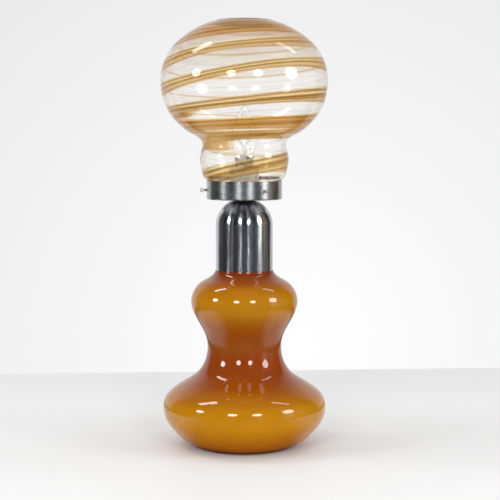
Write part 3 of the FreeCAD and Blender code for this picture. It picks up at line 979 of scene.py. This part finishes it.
def shade_recipe(tree):
    turns, angle, up = trail_turns(tree)
    facing = (angle - front).math("COSINE")
    inputs = {"X": facing * slow_front, "Y": turns, "Z": angle.math("SINE") * slow_side}
    along = tree.node("ShaderNodeCombineXYZ", inputs=inputs)
    broad = noise(stretched(along, y=3), scale=1.0, detail=1.0)
    lines = noise(stretched(along, y=14), scale=1.0, detail=3.0, roughness=0.7)

    offset = (turns + 0.5).math("FRACT") - 0.5
    stops_mm = [(height, grey(width)) for height, width in half_width_by_height_mm]
    half_width = by_height(up, stops_mm) * (side_width - facing * front_narrower)
    across = offset / (half_width * (broad * width_wander + least_width))
    smear = soft_step(angle.math("COSINE"), *smear_side) * soft_step(facing, *smear_front)
    smear = smear * between_heights(up, smear_foot_mm, smear_top_mm)
    cover = trail_cover(across, offset, facing, smear * (most_smear - broad * smear_wander))

    profile = ramp(across * 0.5 + 0.5 + (broad - 0.5) * profile_wander, band_colours)
    gold = tinted(mix_colour(smear, profile, smear_gold), ramp(lines, lines_in_gold))
    gold = tinted(gold, by_height(up, band_by_height_mm))
    tint = tinted(ramp(lines, threads_in_clear), by_height(up, clear_by_height_mm))
    # Painted shade at the glass's edges, together with the tint of the longer path through it.
    edge = tree.node("ShaderNodeLayerWeight", inputs={"Blend": 0.5}, output="Facing")
    tint = mix_colour(soft_step(edge, *rim_of_clear), tint, rim_tint_and_shade)
    gold = tinted(gold, rim_gold_and_shade, soft_step(edge, *rim_of_gold))
    clear = surface(tree, base_color=tint, **clear_glass)
    amber = surface(tree, base_color=gold, **amber_glass)
    return cover.node("ShaderNodeMixShader", inputs={0: cover, 1: clear, 2: amber})


give(finish_named("striped_glass", shade_recipe), shade)

# %% [markdown]
# ## The bulb's glass
#
# A candle bulb shows through the shade, unlit. Its glass is etched, so it looks like a pale flame.
# Though unlit, the glass gets a faint painted glow, so that it shows pale through the shade.
# The glass is thin and hardly bends what lies behind it, so its index is near 1, where solid glass
# would have 1.5. The stem that carries the filament is clear.

# %% Bulb glass
bulb_glass_index = 1.1
stem_glass_index = 1.15


def etched_glass_recipe(tree):
    etch = noise(stretched(place_on_lamp(tree), z=0.25), scale=260.0, detail=3.0)
    haze = ramp(etch, [(0.38, grey(0.86)), (0.62, grey(1.0))])
    rough = ramp(etch, [(0.35, grey(0.08)), (0.65, grey(0.22))])
    glass = {"transmission_weight": 0.98, "ior": bulb_glass_index}
    # Painted glow: the unlit bulb glass gives off a little light of its own.
    painted_glow = {"emission_color": haze, "emission_strength": 0.05}
    return surface(tree, base_color=haze, roughness=rough, **glass, **painted_glow)


def stem_glass_recipe(tree):
    haze = ramp(noise(place_on_lamp(tree), scale=80.0), [(0.3, grey(0.88)), (0.7, grey(0.93))])
    glass = {"transmission_weight": 1.0, "ior": stem_glass_index}
    return surface(tree, base_color=haze, roughness=0.0, **glass)


give(finish_named("etched_bulb_glass", etched_glass_recipe), "bulb_glass")
give(finish_named("clear_stem_glass", stem_glass_recipe), "bulb_stem")

# %% [markdown]
# ## The bulb's cap
#
# The cap is nickel-plated. Its tone runs in upright streaks from near black to pale: painted
# reflections of the room's upright strips. Black glass insulates it from the drop of solder that is
# its tip. The wires inside are dark from the heat.


# %% Bulb metal and insulator
def nickel_recipe(tree):
    # Painted reflection: upright streaks from near black to pale stand in for the room mirrored in
    # the cap.
    painted_streaks = noise(stretched(place_on_lamp(tree), z=0.2), scale=300.0, detail=3.0)
    tone = ramp(painted_streaks, [(0.38, opaque(0.02, 0.02, 0.02)), (0.56, opaque(0.62, 0.60, 0.56))])
    rough = ramp(painted_streaks, [(0.3, grey(0.12)), (0.7, grey(0.25))])
    return surface(tree, base_color=tone, metallic=1.0, roughness=rough)


def vitrite_recipe(tree):
    tone = ramp(noise(place_on_lamp(tree), scale=200.0), [(0.3, grey(0.006)), (0.7, grey(0.02))])
    return surface(tree, base_color=tone, roughness=0.15)


def wire_recipe(tree):
    tone = ramp(noise(place_on_lamp(tree), scale=300.0), [(0.3, grey(0.12)), (0.7, grey(0.25))])
    return surface(tree, base_color=tone, metallic=1.0, roughness=0.4)


def solder_recipe(tree):
    skin = noise(place_on_lamp(tree), scale=260.0, detail=3.0)
    tone = ramp(skin, [(0.3, grey(0.35)), (0.7, grey(0.5))])
    shape = bump(skin, depth_mm=0.1)
    return surface(tree, base_color=tone, metallic=1.0, roughness=0.45, normal=shape)


give(finish_named("nickel_plate", nickel_recipe), "bulb_cap")
give(finish_named("black_vitrite", vitrite_recipe), "bulb_insulator")
give(finish_named("dark_wire", wire_recipe), "bulb_filament")
give(finish_named("dull_solder", solder_recipe), "bulb_tip_contact")
